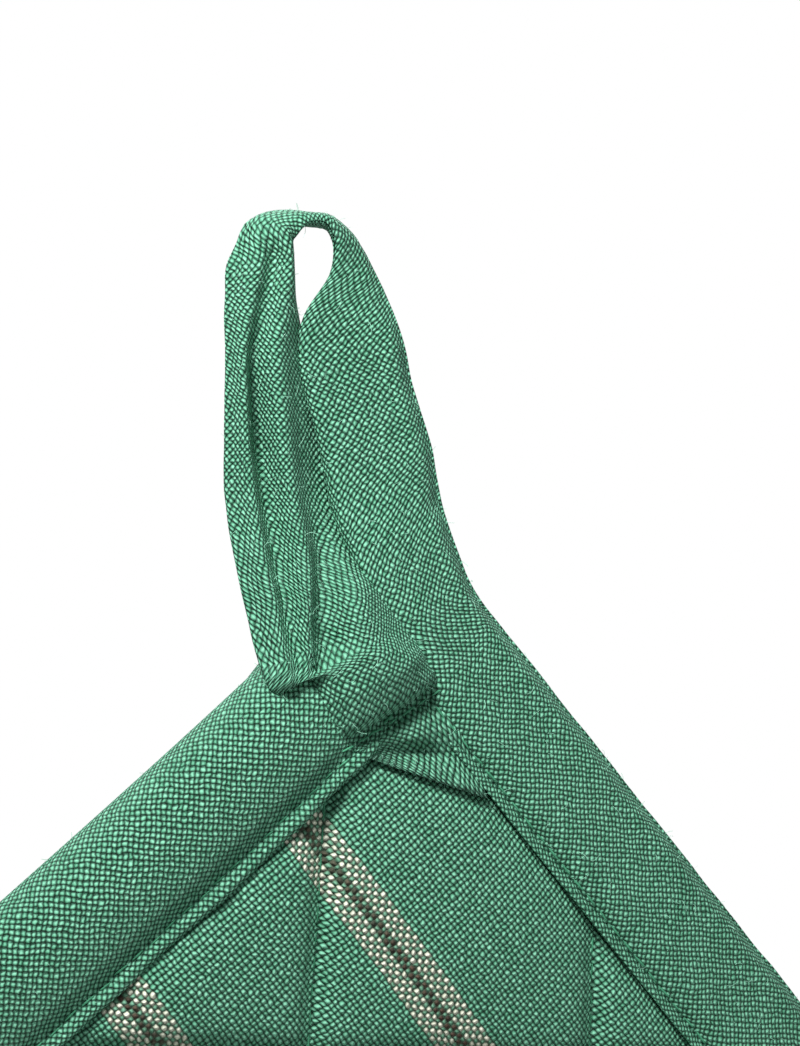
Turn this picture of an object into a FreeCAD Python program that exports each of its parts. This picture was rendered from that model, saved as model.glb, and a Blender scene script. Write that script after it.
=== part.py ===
import FreeCAD
import Part

import math
import os

from FreeCAD import Vector

# A quilted oven mitt that hangs from a fabric loop at one corner of its cuff, in millimetres.
# Frame: the origin is the highest point inside the loop, where the hook carries the mitt. +Z is up,
# and +Y runs through the mitt's thickness, from its front panel at -Y to its back panel at +Y.
# The mitt is drawn in a pattern frame and then turned to the angle at which it hangs:
# u runs along the cuff from the loop's corner, v from the cuff to the fingertips, w through it.

os.makedirs("parts", exist_ok=True)

# ---- driving dimensions ----
hang_angle = 40.0  # between the loop-side edge and the vertical
corner_x, corner_z = 13.6, -36.8  # the cuff's outer corner, measured from the hook
mitt_length = 290.0
cuff_width = 155.0
finger_side = 131.0  # u of the fingers' thumb side
finger_radius = 58.0
crotch_v = 144.0
crotch_radius = 8.0
thumb_lean = 38.0  # between the thumb and the fingers
thumb_length = 80.0
thumb_width = 62.0
thumb_radius = 29.0
thumb_base_radius = 55.0

half_thickness = 17.0  # of the mitt, at its middle
edge_run = 27.0  # over which its faces curve in to the side seam
edge_power = 1.35  # how soon they rise: 1 is a straight slope
tier_steps = (0.0, 0.08, 0.22, 0.45, 0.72, 1.0)  # of the edge run

shell_thickness = 1.0
batting_thickness = 4.6
lining_thickness = 0.8
seam_gap = 0.1  # from the seam's plane to each panel
tape_width = 14.0  # of the binding, on each face
tape_thickness = 1.2
rim_thickness = 1.5  # of the cuff binding, over the panels' cut edge
stitch_inset = 12.4  # from the tape's folded edge
thread_width = 0.7
thread_height = 0.25
quilt_spacing = 36.0
quilt_rise_start = 26.0  # (u + v) / sqrt 2 of one quilting line of the first family
quilt_fall_start = 9.8  # (u - v) / sqrt 2 of one line of the second family

finger_fold_v = 205.0
finger_fold_limit = 50.0
thumb_fold_sum = 313.0  # u + v along the thumb's fold
thumb_fold_limit = 40.0
fold_gap = 0.3  # from the fold's plane to each side
far = 700.0

# the loop from the front, as x and z: its silhouette, and the slit between its legs, which is widest
# where the hook goes through
loop_outer = [
    (-12.6, -31.5), (-12.8, -8.0), (-11.2, -1.2), (-7.0, 2.2), (3.6, 2.4), (6.8, -1.5), (10.8, -12.0),
    (14.4, -24.0), (16.4, -31.5),
]
loop_slit = [
    (-0.2, -31.5), (-1.8, -13.0), (-2.7, -8.0), (-2.7, -1.0), (-1.7, 0.0), (1.7, 0.0), (2.7, -1.0),
    (2.7, -8.0), (-0.6, -13.0), (1.2, -31.5),
]
left_leg_thickness = 6.0  # folded lengthwise
right_leg_thickness = 3.0
leg_divide_x = 0.3
tail_outline = [(14.3, -0.4), (24.0, -0.4), (24.6, 15.0), (14.3, 29.5)]  # u and v
tail_thickness = 2.4
tail_stitch_v = 14.6
thread_inset = 0.6  # of the tail's stitches, from its sides

# ---- the pattern frame ----
turn = math.radians(hang_angle)
along_cuff = Vector(-math.cos(turn), 0, -math.sin(turn))
along_hand = Vector(math.sin(turn), 0, -math.cos(turn))
hanging = FreeCAD.Placement(
    Vector(corner_x, 0, corner_z),
    FreeCAD.Rotation(along_cuff, Vector(0, 1, 0), along_hand, "XYZ"),
)

lean = math.radians(thumb_lean)
thumb_run = Vector(math.sin(lean), 0, math.cos(lean))
thumb_side = Vector(math.cos(lean), 0, -math.sin(lean))
crotch = Vector(finger_side, 0, crotch_v)
thumb_inner_tip = crotch + thumb_run * thumb_length
thumb_outer_tip = thumb_inner_tip + thumb_side * thumb_width
thumb_base_run = (thumb_outer_tip.x - cuff_width) / thumb_run.x
thumb_base = thumb_outer_tip - thumb_run * thumb_base_run

mouth_extension = 60.0
mitt_corners = [
    (Vector(0, 0, -mouth_extension), 0),
    (Vector(3, 0, mitt_length), finger_radius),
    (Vector(finger_side, 0, mitt_length), finger_radius),
    (crotch, crotch_radius),
    (thumb_inner_tip, thumb_radius),
    (thumb_outer_tip, thumb_radius),
    (thumb_base, thumb_base_radius),
    (Vector(cuff_width, 0, -mouth_extension), 0),
]


def meet(p, p_run, q, q_run):
    """Where two lines in the pattern's plane cross."""
    cross = p_run.x * q_run.z - p_run.z * q_run.x
    step = ((q.x - p.x) * q_run.z - (q.z - p.z) * q_run.x) / cross
    return p + p_run * step


def outline(inset, w=0.0):
    """The mitt's outline as a closed wire of lines and arcs, drawn in by inset, at height w."""
    count = len(mitt_corners)
    runs = []
    for i in range(count):
        runs.append((mitt_corners[(i + 1) % count][0] - mitt_corners[i][0]).normalize())
    starts = []
    for i in range(count):
        inward = Vector(runs[i].z, 0, -runs[i].x)
        starts.append(mitt_corners[i][0] + inward * inset)
    ends = []
    for i in range(count):
        before, after = runs[i - 1], runs[i]
        corner = meet(starts[i - 1], before, starts[i], after)
        radius = mitt_corners[i][1]
        if radius == 0:
            ends.append((corner, None, corner))
            continue
        concave = before.x * after.z - before.z * after.x > 0
        radius = radius + inset if concave else radius - inset
        half_turn = before.getAngle(after) / 2
        reach = radius * math.tan(half_turn)
        bisector = (after - before).normalize()
        middle = corner + bisector * radius * (1 / math.cos(half_turn) - 1)
        ends.append((corner - before * reach, middle, corner + after * reach))
    lift = Vector(0, w, 0)
    edges = []
    for i in range(count):
        first, middle, last = ends[i]
        if middle:
            edges.append(Part.Arc(first + lift, middle + lift, last + lift).toShape())
        following = ends[(i + 1) % count][0]
        edges.append(Part.LineSegment(last + lift, following + lift).toShape())
    return Part.Wire(edges)


def pillow(inset):
    """The mitt's closed volume, drawn in by inset all over, with its mouth end run on past the cuff."""
    run = edge_run - inset
    rise = half_thickness - inset
    back = []
    for step in tier_steps[1:]:
        back.append((inset + run * step, rise * (1 - (1 - step) ** edge_power)))
    tiers = [(i, -w) for i, w in reversed(back)] + [(inset, 0.0)] + back
    return Part.makeLoft([outline(i, w) for i, w in tiers], True, True)


def slab(u0, u1, w0, w1, v0, v1):
    return Part.makeBox(u1 - u0, w1 - w0, v1 - v0, Vector(u0, w0, v0))


def prism(points, w0=-far, w1=far):
    """A polygon in the pattern's plane, carried through the thickness."""
    corners = [Vector(u, w0, v) for u, v in points]
    return Part.Face(Part.makePolygon(corners + corners[:1])).extrude(Vector(0, w1 - w0, 0))


def through(face):
    """A flat face of the pattern's plane, carried through the whole thickness."""
    return face.extrude(Vector(0, 2 * far, 0)).translated(Vector(0, -far, 0))


def beyond_fold(point, run, axis, limit):
    """What lies past a fold on the front and on the back, and what lies before it.

    The fold turns about axis through point. It closes towards the front, so the front is cut back
    by half of the limit on both sides, and the back only by the gap.
    """
    tilt = math.tan(math.radians(limit / 2))
    out = Vector(0, -1, 0)
    past = []
    for sign in (1, -1):
        hinge = point + run * sign * fold_gap
        front_edge = hinge + out * far + run * sign * far * tilt
        section = [hinge - out * far, hinge, front_edge, front_edge + run * sign * far]
        section.append(hinge - out * far + run * sign * far * (1 + tilt))
        start = [corner - axis * far for corner in section]
        past.append(Part.Face(Part.makePolygon(start + start[:1])).extrude(axis * 2 * far))
    return past


def parted(shape, keep):
    """The part of a shape inside another, as one shape with clean faces."""
    return shape.common(keep).removeSplitter()


# ---- regions ----
root_two = math.sqrt(2)
finger_point = Vector(0, 0, finger_fold_v)
past_fingers, before_fingers = beyond_fold(
    finger_point, Vector(0, 0, 1), Vector(1, 0, 0), finger_fold_limit
)
thumb_point = Vector(thumb_fold_sum / 2, 0, thumb_fold_sum / 2)
thumb_turn_axis = Vector(1 / root_two, 0, -1 / root_two)
past_thumb, before_thumb = beyond_fold(
    thumb_point, Vector(1 / root_two, 0, 1 / root_two), thumb_turn_axis, thumb_fold_limit
)
# the thumb's half of the mitt lies on the cuff's side of a line from the crotch, and the fingers beyond
crotch_side = [(crotch.x - 40, crotch.z - 20), (crotch.x + 5, crotch.z + 23), (far, far), (far, -far)]
crotch_side.append((crotch.x - 40, -far))
thumb_half = prism(crotch_side)
thumb_area = past_thumb.common(thumb_half)
thumb_clear = thumb_half.cut(before_thumb)
finger_area = past_fingers.cut(thumb_half)
hand_area = before_fingers.cut(thumb_clear).fuse(before_fingers.common(before_thumb).common(thumb_half))
cuff_on = slab(-far, far, -far, far, 0, far)
areas = {"hand": hand_area, "fingers": finger_area, "thumb": thumb_area}
faces = {
    "front": slab(-far, far, -far, -seam_gap, -far, far),
    "back": slab(-far, far, seam_gap, far, -far, far),
}

# ---- layers, from the outside in ----
layers = {"shell": shell_thickness, "batting": batting_thickness, "lining": lining_thickness}
nodes = {}
depth = 0.0
outer_volume = pillow(0.0)
skin = outer_volume
for layer, thickness in layers.items():
    depth += thickness
    under = pillow(depth)
    sheet = skin.cut(under).common(cuff_on)
    for face, half in faces.items():
        for area, region in areas.items():
            nodes[f"{face}_{layer}_{area}"] = parted(sheet.common(half), region)
    skin = under
cavity = skin

# ---- bindings ----
over_tape = pillow(-tape_thickness)
edge_ring = prism([(-far, -far), (far, -far), (far, far), (-far, far)])
edge_ring = edge_ring.cut(through(Part.Face(outline(tape_width))))
from_rim = slab(-far, far, -far, far, -rim_thickness, far)
side_tape = over_tape.cut(outer_volume).common(edge_ring).common(from_rim)
for area, region in areas.items():
    nodes[f"side_binding_{area}"] = parted(side_tape, region)

cuff_zone = slab(-far, far, -far, far, -rim_thickness, tape_width)
panels = outer_volume.cut(cavity).common(cuff_on)
cuff_tape = over_tape.cut(pillow(depth + tape_thickness)).common(cuff_zone).cut(panels).cut(edge_ring)
for face, half in faces.items():
    nodes[f"{face}_cuff_binding"] = parted(cuff_tape, half)

# ---- stitching ----
thread_skin = pillow(-tape_thickness - thread_height).cut(over_tape)
side_row = Part.Face(outline(stitch_inset)).cut(Part.Face(outline(stitch_inset + thread_width)))
side_thread = thread_skin.common(through(side_row)).common(cuff_on)
for area, region in areas.items():
    nodes[f"side_stitches_{area}"] = parted(side_thread, region)
cuff_row = slab(tape_width, cuff_width - tape_width, -far, far, stitch_inset, stitch_inset + thread_width)
for face, half in faces.items():
    nodes[f"{face}_cuff_stitches"] = parted(thread_skin.common(cuff_row), half)

inside_edge = through(Part.Face(outline(tape_width)))
quilt_skin = pillow(-thread_height).cut(outer_volume).common(inside_edge)
quilt_skin = quilt_skin.common(slab(-far, far, -far, far, tape_width, far))
reach = mitt_length + cuff_width


def quilt_family(start, slope):
    """The quilting lines of one direction, where they lie on the panels."""
    lines = []
    first = start - quilt_spacing * math.ceil((reach + start) / quilt_spacing)
    for i in range(int(2 * reach / quilt_spacing)):
        line = slab(-reach, reach, -far, far, 0, thread_width)
        line.translate(Vector(0, 0, first + i * quilt_spacing))
        line.rotate(Vector(0, 0, 0), Vector(0, 1, 0), slope)
        lines.append(line)
    return quilt_skin.common(Part.makeCompound(lines))


rising = quilt_family(quilt_rise_start, 45)
falling = quilt_family(-quilt_fall_start, -45).cut(rising)
quilt_lines = Part.makeCompound([rising, falling])
for face, half in faces.items():
    for area, region in areas.items():
        nodes[f"{face}_quilting_{area}"] = quilt_lines.common(half).common(region)

# ---- the loop's end, sewn down on the cuff ----
tail_skin = pillow(-tape_thickness - tail_thickness)
tail = tail_skin.cut(pillow(-tape_thickness - seam_gap)).common(prism(tail_outline)).common(faces["front"])
nodes["loop_tail"] = tail.cut(thread_skin.common(cuff_row))
tail_row = slab(
    tail_outline[0][0] + thread_inset, tail_outline[1][0] - thread_inset, -far, 0,
    tail_stitch_v, tail_stitch_v + thread_width,
)
nodes["tail_stitches"] = pillow(-tape_thickness - tail_thickness - thread_height).cut(tail_skin).common(tail_row)

for shape in nodes.values():
    shape.Placement = hanging

# ---- the loop, drawn as it hangs ----


def hanging_prism(points, x0, x1, thickness):
    """A piece of the loop between two heights of x, of one thickness."""
    corners = [Vector(x, -thickness / 2, z) for x, z in points]
    body = Part.Face(Part.makePolygon(corners + corners[:1])).extrude(Vector(0, thickness, 0))
    return body.common(Part.makeBox(x1 - x0, far, 2 * far, Vector(x0, -far / 2, -far)))


legs = hanging_prism(loop_outer, -far, leg_divide_x, left_leg_thickness)
legs = legs.fuse(hanging_prism(loop_outer, leg_divide_x, far, right_leg_thickness))
nodes["loop_tape"] = legs.cut(hanging_prism(loop_slit, -far, far, left_leg_thickness + 2)).removeSplitter()

for node, shape in nodes.items():
    shape.exportStep(f"parts/{node}.step")
    print(node, len(shape.Solids), shape.isValid(), round(shape.Volume, 1))
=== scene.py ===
import math

import bpy
import numpy as np
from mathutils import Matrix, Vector, geometry, noise


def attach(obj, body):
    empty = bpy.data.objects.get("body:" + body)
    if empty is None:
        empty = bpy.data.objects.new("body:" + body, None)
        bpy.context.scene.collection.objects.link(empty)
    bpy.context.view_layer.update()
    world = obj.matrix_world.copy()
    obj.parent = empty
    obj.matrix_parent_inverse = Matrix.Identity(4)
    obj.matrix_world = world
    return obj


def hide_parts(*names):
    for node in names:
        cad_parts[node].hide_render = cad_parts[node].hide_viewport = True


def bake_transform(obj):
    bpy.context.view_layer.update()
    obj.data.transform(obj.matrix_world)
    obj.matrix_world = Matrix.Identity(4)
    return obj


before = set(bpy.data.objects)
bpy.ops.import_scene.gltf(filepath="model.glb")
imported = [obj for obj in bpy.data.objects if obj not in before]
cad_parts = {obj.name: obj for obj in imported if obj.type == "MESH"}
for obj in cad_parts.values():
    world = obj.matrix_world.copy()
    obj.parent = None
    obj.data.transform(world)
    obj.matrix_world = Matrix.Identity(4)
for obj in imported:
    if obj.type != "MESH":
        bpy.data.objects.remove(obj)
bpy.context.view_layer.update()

# Sizes are in millimetres in the mitt's own pattern: u runs along the cuff from the loop's corner, v from the
# cuff to the fingertips, and w is the height above the middle plane. Meshes are made in metres.
mm = 0.001
rootTwo = math.sqrt(2)

pattern = {
    "hangAngle": 40.0,
    "cornerX": 13.6,
    "cornerZ": -36.8,
    "length": 290.0,
    "cuff": 155.0,
    "fingerSide": 131.0,
    "fingerRadius": 58.0,
    "crotch": 144.0,
    "crotchRadius": 8.0,
    "thumbLean": 38.0,
    "thumbLength": 80.0,
    "thumbWidth": 62.0,
    "thumbRadius": 29.0,
    "thumbBaseRadius": 55.0,
    "mouthRun": 60.0,
}
puff = {
    "seamHalf": 2.4,
    "rise": 13.2,
    "riseRun": 26.0,
    "flatEdge": 4.0,
    "padThickness": 4.2,
    "liningThickness": 0.7,
    "quiltSpacing": 36.0,
    "riseStart": 26.0,
    "fallStart": 11.2,
    "grooveDepth": 2.3,
    "grooveWidth": 1.25,
    "pillow": 2.1,
    "pillowRun": 7.0,
    "tapeStitch": 13.3,
    "tuckRun": 2.4,
    "underTape": 1.3,
    "linerGap": 0.12,
}

turn = math.radians(pattern["hangAngle"])
alongCuff = np.array([-math.cos(turn), 0, -math.sin(turn)])
alongHand = np.array([math.sin(turn), 0, -math.cos(turn)])
throughMitt = np.array([0.0, 1.0, 0.0])
# how far the back of the mouth hangs below the front, and over which lengths that fades out
sag = {"depth": 6.0, "loopEnd": (10, 46), "farEnd": (6, 46), "down": (0, 95)}
corner = np.array([pattern["cornerX"], 0, pattern["cornerZ"]])


# pattern places in millimetres to places in the row frame, in metres. w points to the back
def hang(u, v, w):
    u, v, w = (np.asarray(x, float)[..., None] for x in (u, v, w))
    lower = (w > 0) * sag["depth"] * smoothStep(u, *sag["loopEnd"])
    lower = lower * smoothStep(pattern["cuff"] - u, *sag["farEnd"]) * (1 - smoothStep(v, *sag["down"]))
    return (corner + alongCuff * u + alongHand * (v + lower) + throughMitt * w) * mm


def unit(vector):
    return vector / np.linalg.norm(vector)


def smoothStep(x, low, high):
    t = np.clip((np.asarray(x, float) - low) / (high - low), 0, 1)
    return t * t * (3 - 2 * t)


# smooth noise between about -1 and 1 at each row of points, with bumps of that size
def ripple(points, size, seed=0.0):
    return np.array([noise.noise(Vector((p[0] / size + seed, p[1] / size, p[2] / size))) for p in points])


# a smooth curve through values at increasing knots, read at the places in at
def curveThrough(knots, values, at):
    knots, values, at = (np.asarray(x, float) for x in (knots, values, at))
    gaps = np.diff(knots)
    shape = (-1,) + (1,) * (values.ndim - 1)
    slopes = np.diff(values, axis=0) / gaps.reshape(shape)
    tangents = np.empty_like(values)
    tangents[0], tangents[-1] = slopes[0], slopes[-1]
    before, after = gaps[:-1].reshape(shape), gaps[1:].reshape(shape)
    tangents[1:-1] = (slopes[:-1] * after + slopes[1:] * before) / (before + after)
    i = np.clip(np.searchsorted(knots, at, side="right") - 1, 0, len(gaps) - 1)
    t = ((at - knots[i]) / gaps[i]).reshape(shape)
    h = gaps[i].reshape(shape)
    return (
        (1 + 2 * t) * (1 - t) ** 2 * values[i]
        + t * (1 - t) ** 2 * h * tangents[i]
        + t * t * (3 - 2 * t) * values[i + 1]
        + t * t * (t - 1) * h * tangents[i + 1]
    )


# the mitt's side seam as points from the loop's corner, round the fingers and thumb, to the cuff again
def roundedOutline(inset=0.0, step=1.0, start=None):
    p = pattern
    lean = math.radians(p["thumbLean"])
    run, side = np.array([math.sin(lean), math.cos(lean)]), np.array([math.cos(lean), -math.sin(lean)])
    crotch = np.array([p["fingerSide"], p["crotch"]])
    innerTip = crotch + run * p["thumbLength"]
    outerTip = innerTip + side * p["thumbWidth"]
    base = outerTip - run * (outerTip[0] - p["cuff"]) / run[0]
    start = -p["mouthRun"] if start is None else start
    corners = [
        (np.array([0.0, start]), 0),
        (np.array([3.0, p["length"]]), p["fingerRadius"]),
        (np.array([p["fingerSide"], p["length"]]), p["fingerRadius"]),
        (crotch, p["crotchRadius"]),
        (innerTip, p["thumbRadius"]),
        (outerTip, p["thumbRadius"]),
        (base, p["thumbBaseRadius"]),
        (np.array([p["cuff"], start]), 0),
    ]
    runs = [unit(b[0] - a[0]) for a, b in zip(corners, corners[1:])]
    inward = [np.array([r[1], -r[0]]) for r in runs]
    points = [corners[0][0] + inward[0] * inset]
    for i in range(1, len(corners) - 1):
        a, b = runs[i - 1], runs[i]
        p0, p1 = corners[i][0] + inward[i - 1] * inset, corners[i][0] + inward[i] * inset
        cross = a[0] * b[1] - a[1] * b[0]
        meet = p0 + a * (((p1 - p0)[0] * b[1] - (p1 - p0)[1] * b[0]) / cross)
        radius = corners[i][1] + (inset if cross > 0 else -inset)
        half = math.acos(np.clip(a @ b, -1, 1)) / 2
        reach = radius * math.tan(half)
        toCentre = unit(b - a) * radius / math.cos(half)
        centre, first = meet + toCentre, meet - a * reach
        spoke = first - centre
        count = max(3, int(radius * 2 * half / step))
        sign = 1 if cross > 0 else -1
        for k in range(count + 1):
            angle = sign * 2 * half * k / count
            c, s = math.cos(angle), math.sin(angle)
            points.append(centre + np.array([c * spoke[0] - s * spoke[1], s * spoke[0] + c * spoke[1]]))
    points.append(corners[-1][0] + inward[-1] * inset)
    return resampled(np.array(points), step)


# how far along its path each point lies
def lengthsAlong(points):
    return np.concatenate([[0], np.cumsum(np.linalg.norm(np.diff(points, axis=0), axis=1))])


# the same path with points about step apart
def resampled(points, step):
    lengths = lengthsAlong(points)
    count = max(2, int(round(lengths[-1] / step)) + 1)
    at = np.linspace(0, lengths[-1], count)
    return np.stack([np.interp(at, lengths, points[:, k]) for k in range(points.shape[1])], axis=1)


seamLine = roundedOutline(0.0, 1.5)


# distance from each place to the side seam
def fromSeam(u, v):
    places = np.stack([np.ravel(u), np.ravel(v)], axis=1).astype(float)
    a, b = seamLine[:-1], seamLine[1:]
    run = b - a
    best = np.full(len(places), 1e9)
    for k in range(0, len(places), 4000):
        block = places[k : k + 4000, None, :]
        t = np.clip(((block - a) * run).sum(2) / (run * run).sum(1), 0, 1)
        best[k : k + 4000] = np.linalg.norm(block - a - run * t[..., None], axis=2).min(1)
    return best.reshape(np.shape(u))


# half the mitt's thickness at a distance from its side seam, before the quilting
def restingHalf(d):
    grown = np.maximum(d - puff["flatEdge"], 0) / puff["riseRun"]
    return puff["seamHalf"] + puff["rise"] * (1 - np.exp(-grown))


# distance to the nearest quilting line of each family
def quiltGap(u, v):
    spacing = puff["quiltSpacing"]
    rise = np.mod((u + v) / rootTwo - puff["riseStart"], spacing)
    fall = np.mod((u - v) / rootTwo - puff["fallStart"], spacing)
    return np.minimum(rise, spacing - rise), np.minimum(fall, spacing - fall)


# height of a quilted panel's outer face over the middle plane
def panelTop(u, v, d):
    rise, fall = quiltGap(u, v)
    groove = sum(np.exp(-((gap / puff["grooveWidth"]) ** 1.2)) for gap in (rise, fall))
    pillow = (1 - np.exp(-rise / puff["pillowRun"])) * (1 - np.exp(-fall / puff["pillowRun"]))
    fromTape = np.minimum(d, v) - puff["tapeStitch"]
    tuck = np.where(fromTape > 0, np.exp(-np.maximum(fromTape, 0) / puff["tuckRun"]), 1.0)
    away = 1 - tuck
    places = np.stack([u, v, np.zeros_like(u)], axis=1)
    soft = 0.45 * ripple(places, 31, 3.7) + 0.22 * ripple(places, 11, 9.1)
    quilted = puff["pillow"] * pillow - puff["grooveDepth"] * np.minimum(groove, 1) + soft
    return restingHalf(d) + away * quilted - tuck * puff["underTape"]


def makeMesh(name, verts, faces, uvs, material):
    mesh = bpy.data.meshes.new(name)
    mesh.from_pydata([tuple(v) for v in verts], [], [tuple(f) for f in faces])
    layer = mesh.uv_layers.new(name="clothMap")
    loops = np.zeros(len(mesh.loops), np.int32)
    mesh.loops.foreach_get("vertex_index", loops)
    layer.data.foreach_set("uv", np.asarray(uvs, np.float32)[loops].ravel())
    mesh.materials.append(material)
    mesh.polygons.foreach_set("use_smooth", np.ones(len(mesh.polygons), bool))
    mesh.update()
    thing = bpy.data.objects.new(name, mesh)
    bpy.context.scene.collection.objects.link(thing)
    return thing


def gridNormals(grid):
    along = np.gradient(grid, axis=0)
    across = np.gradient(grid, axis=1)
    n = np.cross(along, across)
    return n / np.maximum(np.linalg.norm(n, axis=2, keepdims=True), 1e-12)


# a closed piece of cloth from two grids of places, its outer and its inner face
def closedSkin(name, outer, inner, uv, material, flip=False):
    rows, cols = outer.shape[:2]
    verts = np.concatenate([outer.reshape(-1, 3), inner.reshape(-1, 3)])
    uvs = np.concatenate([uv.reshape(-1, 2), uv.reshape(-1, 2)])
    index = np.arange(rows * cols).reshape(rows, cols)
    a, b, c, d = index[:-1, :-1], index[:-1, 1:], index[1:, 1:], index[1:, :-1]
    top = np.stack([a, d, c, b], axis=-1).reshape(-1, 4)
    under = top[:, ::-1] + rows * cols
    rim = np.concatenate([index[:, 0], index[-1, 1:], index[-2::-1, -1], index[0, -2:0:-1]])
    nextRim = np.roll(rim, -1)
    walls = np.stack([nextRim, rim, rim + rows * cols, nextRim + rows * cols], axis=-1)
    faces = np.concatenate([top, under, walls])
    if flip:
        faces = faces[:, ::-1]
    return makeMesh(name, verts, faces, uvs, material)


# triangles that fill a flat polygon, with their points on the quilting's own grid
def meshRegion(polygon, spacingAt):
    points = [tuple(p) for p in polygon]
    low, high = polygon.min(0), polygon.max(0)
    found = []
    for fine in (True, False):
        step = spacingAt["fine"] if fine else spacingAt["coarse"]
        count = int(600 / step)
        i, j = np.meshgrid(np.arange(-count, count), np.arange(-count, count))
        rise, fall = puff["riseStart"] + i * step, puff["fallStart"] + j * step
        u, v = ((rise + fall) / rootTwo).ravel(), ((rise - fall) / rootTwo).ravel()
        inBox = (u > low[0]) & (u < high[0]) & (v > low[1]) & (v < high[1])
        near = (u < spacingAt["fineU"]) & (v < spacingAt["fineV"])
        keep = inBox & (near if fine else ~near)
        found.append(np.stack([u[keep], v[keep]], axis=1))
    grid = np.concatenate(found)
    grid = grid[insidePolygon(grid, polygon, 0.55)]
    points += [tuple(p) for p in grid]
    count = len(polygon)
    edges = [(k, (k + 1) % count) for k in range(count)]
    made = geometry.delaunay_2d_cdt([Vector(p) for p in points], edges, [list(range(count))], 1, 1e-4)
    flat = np.array([(p[0], p[1]) for p in made[0]])
    faces = np.array([f for f in made[2] if len(f) == 3])
    return flat, faces


# which points lie inside a closed polygon and at least margin from its line
def insidePolygon(points, polygon, margin):
    x, y = points[:, 0], points[:, 1]
    inside = np.zeros(len(points), bool)
    gap = np.full(len(points), 1e9)
    for a, b in zip(polygon, np.roll(polygon, -1, axis=0)):
        crosses = (a[1] > y) != (b[1] > y)
        if crosses.any():
            at = a[0] + (y - a[1]) * (b[0] - a[0]) / ((b[1] - a[1]) or 1e-12)
            inside ^= crosses & (x < at)
        run = b - a
        length = max(run @ run, 1e-12)
        t = np.clip(((points - a) @ run) / length, 0, 1)
        gap = np.minimum(gap, np.linalg.norm(points - a - t[:, None] * run, axis=1))
    return inside & (gap > margin)


# a closed layer over a flat triangle mesh, between two heights. side is -1 for the front, 1 for the back
def closedPanel(name, flat, faces, top, under, side, material):
    count = len(flat)
    upper, lower = hang(flat[:, 0], flat[:, 1], side * top), hang(flat[:, 0], flat[:, 1], side * under)
    pairs = {}
    for f in faces:
        for a, b in ((f[0], f[1]), (f[1], f[2]), (f[2], f[0])):
            pairs[(a, b)] = True
    walls = [(b, a, a + count, b + count) for a, b in pairs if (b, a) not in pairs]
    allFaces = [tuple(f) for f in faces] + [tuple(x + count for x in f[::-1]) for f in faces] + walls
    first = faces[0]
    normal = np.cross(upper[first[1]] - upper[first[0]], upper[first[2]] - upper[first[0]])
    if normal[1] * side < 0:
        allFaces = [f[::-1] for f in allFaces]
    away = flat - np.array(cloth["grainAt"])
    turned = math.radians(cloth["grainTurn"])
    c, s = math.cos(turned), math.sin(turned)
    grain = np.stack([away[:, 0] * c - away[:, 1] * s, away[:, 1] * c + away[:, 0] * s], axis=1)
    grain = grain + np.array(cloth["grainAt"])
    uvs = np.concatenate([grain, grain]) * mm
    return makeMesh(name, np.concatenate([upper, lower]), allFaces, uvs, material)


# colours of the cloths; each Deep colour is painted shade for the low places between the threads
cloth = {
    "warpPitch": 0.60 * mm,
    "weftPitch": 0.64 * mm,
    "green": (0.048, 0.275, 0.145, 1),
    "greenPale": (0.25, 0.65, 0.44, 1),
    "greenDeep": (0.0005, 0.035, 0.012, 1),
    "cream": (0.60, 0.63, 0.48, 1),
    "creamPale": (0.95, 0.96, 0.79, 1),
    "brown": (0.03, 0.016, 0.01, 1),
    "brownPale": (0.10, 0.055, 0.035, 1),
    "bandGround": (0.16, 0.25, 0.17, 1),
    "bandGapShade": (0.09, 0.13, 0.08, 1),
    "beige": (0.52, 0.49, 0.40, 1),
    "beigePale": (0.68, 0.65, 0.55, 1),
    "beigeDeep": (0.16, 0.14, 0.1, 1),
    "fibreDepth": 0.018,
    "stripeThreads": 47,
    "stripeStart": 7,
    "grainAt": (35.2, 22.0),
    "grainTurn": 3.7,
}


# short calls that add nodes to one tree
class Wires:
    def __init__(self, tree):
        self.tree = tree

    def node(self, kind, inputs=None, **settings):
        made = self.tree.nodes.new(kind)
        for key, value in settings.items():
            setattr(made, key, value)
        for key, value in (inputs or {}).items():
            self.put(made.inputs[key], value)
        return made

    def value(self, kind, inputs=None, **settings):
        return self.node(kind, inputs, **settings).outputs[0]

    def put(self, socket, value):
        if isinstance(value, bpy.types.NodeSocket):
            self.tree.links.new(value, socket)
        else:
            socket.default_value = value

    def calc(self, kind, *given):
        return self.value("ShaderNodeMath", dict(enumerate(given)), operation=kind)

    def plus(self, a, b):
        return self.calc("ADD", a, b)

    def minus(self, a, b):
        return self.calc("SUBTRACT", a, b)

    def times(self, a, b):
        return self.calc("MULTIPLY", a, b)

    def mixColour(self, factor, a, b):
        made = self.node("ShaderNodeMix", data_type="RGBA")
        self.put(made.inputs["Factor"], factor)
        self.put(made.inputs[6], a)
        self.put(made.inputs[7], b)
        return made.outputs[2]

    def remap(self, value, low, high, toLow=0.0, toHigh=1.0):
        given = (value, low, high, toLow, toHigh)
        return self.value("ShaderNodeMapRange", dict(enumerate(given)), clamp=True)


# named inputs of a node group
def addInputs(tree, rows):
    for name, kind, start in rows:
        socket = tree.interface.new_socket(name, in_out="INPUT", socket_type="NodeSocket" + kind)
        if start is not None:
            socket.default_value = start


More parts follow.
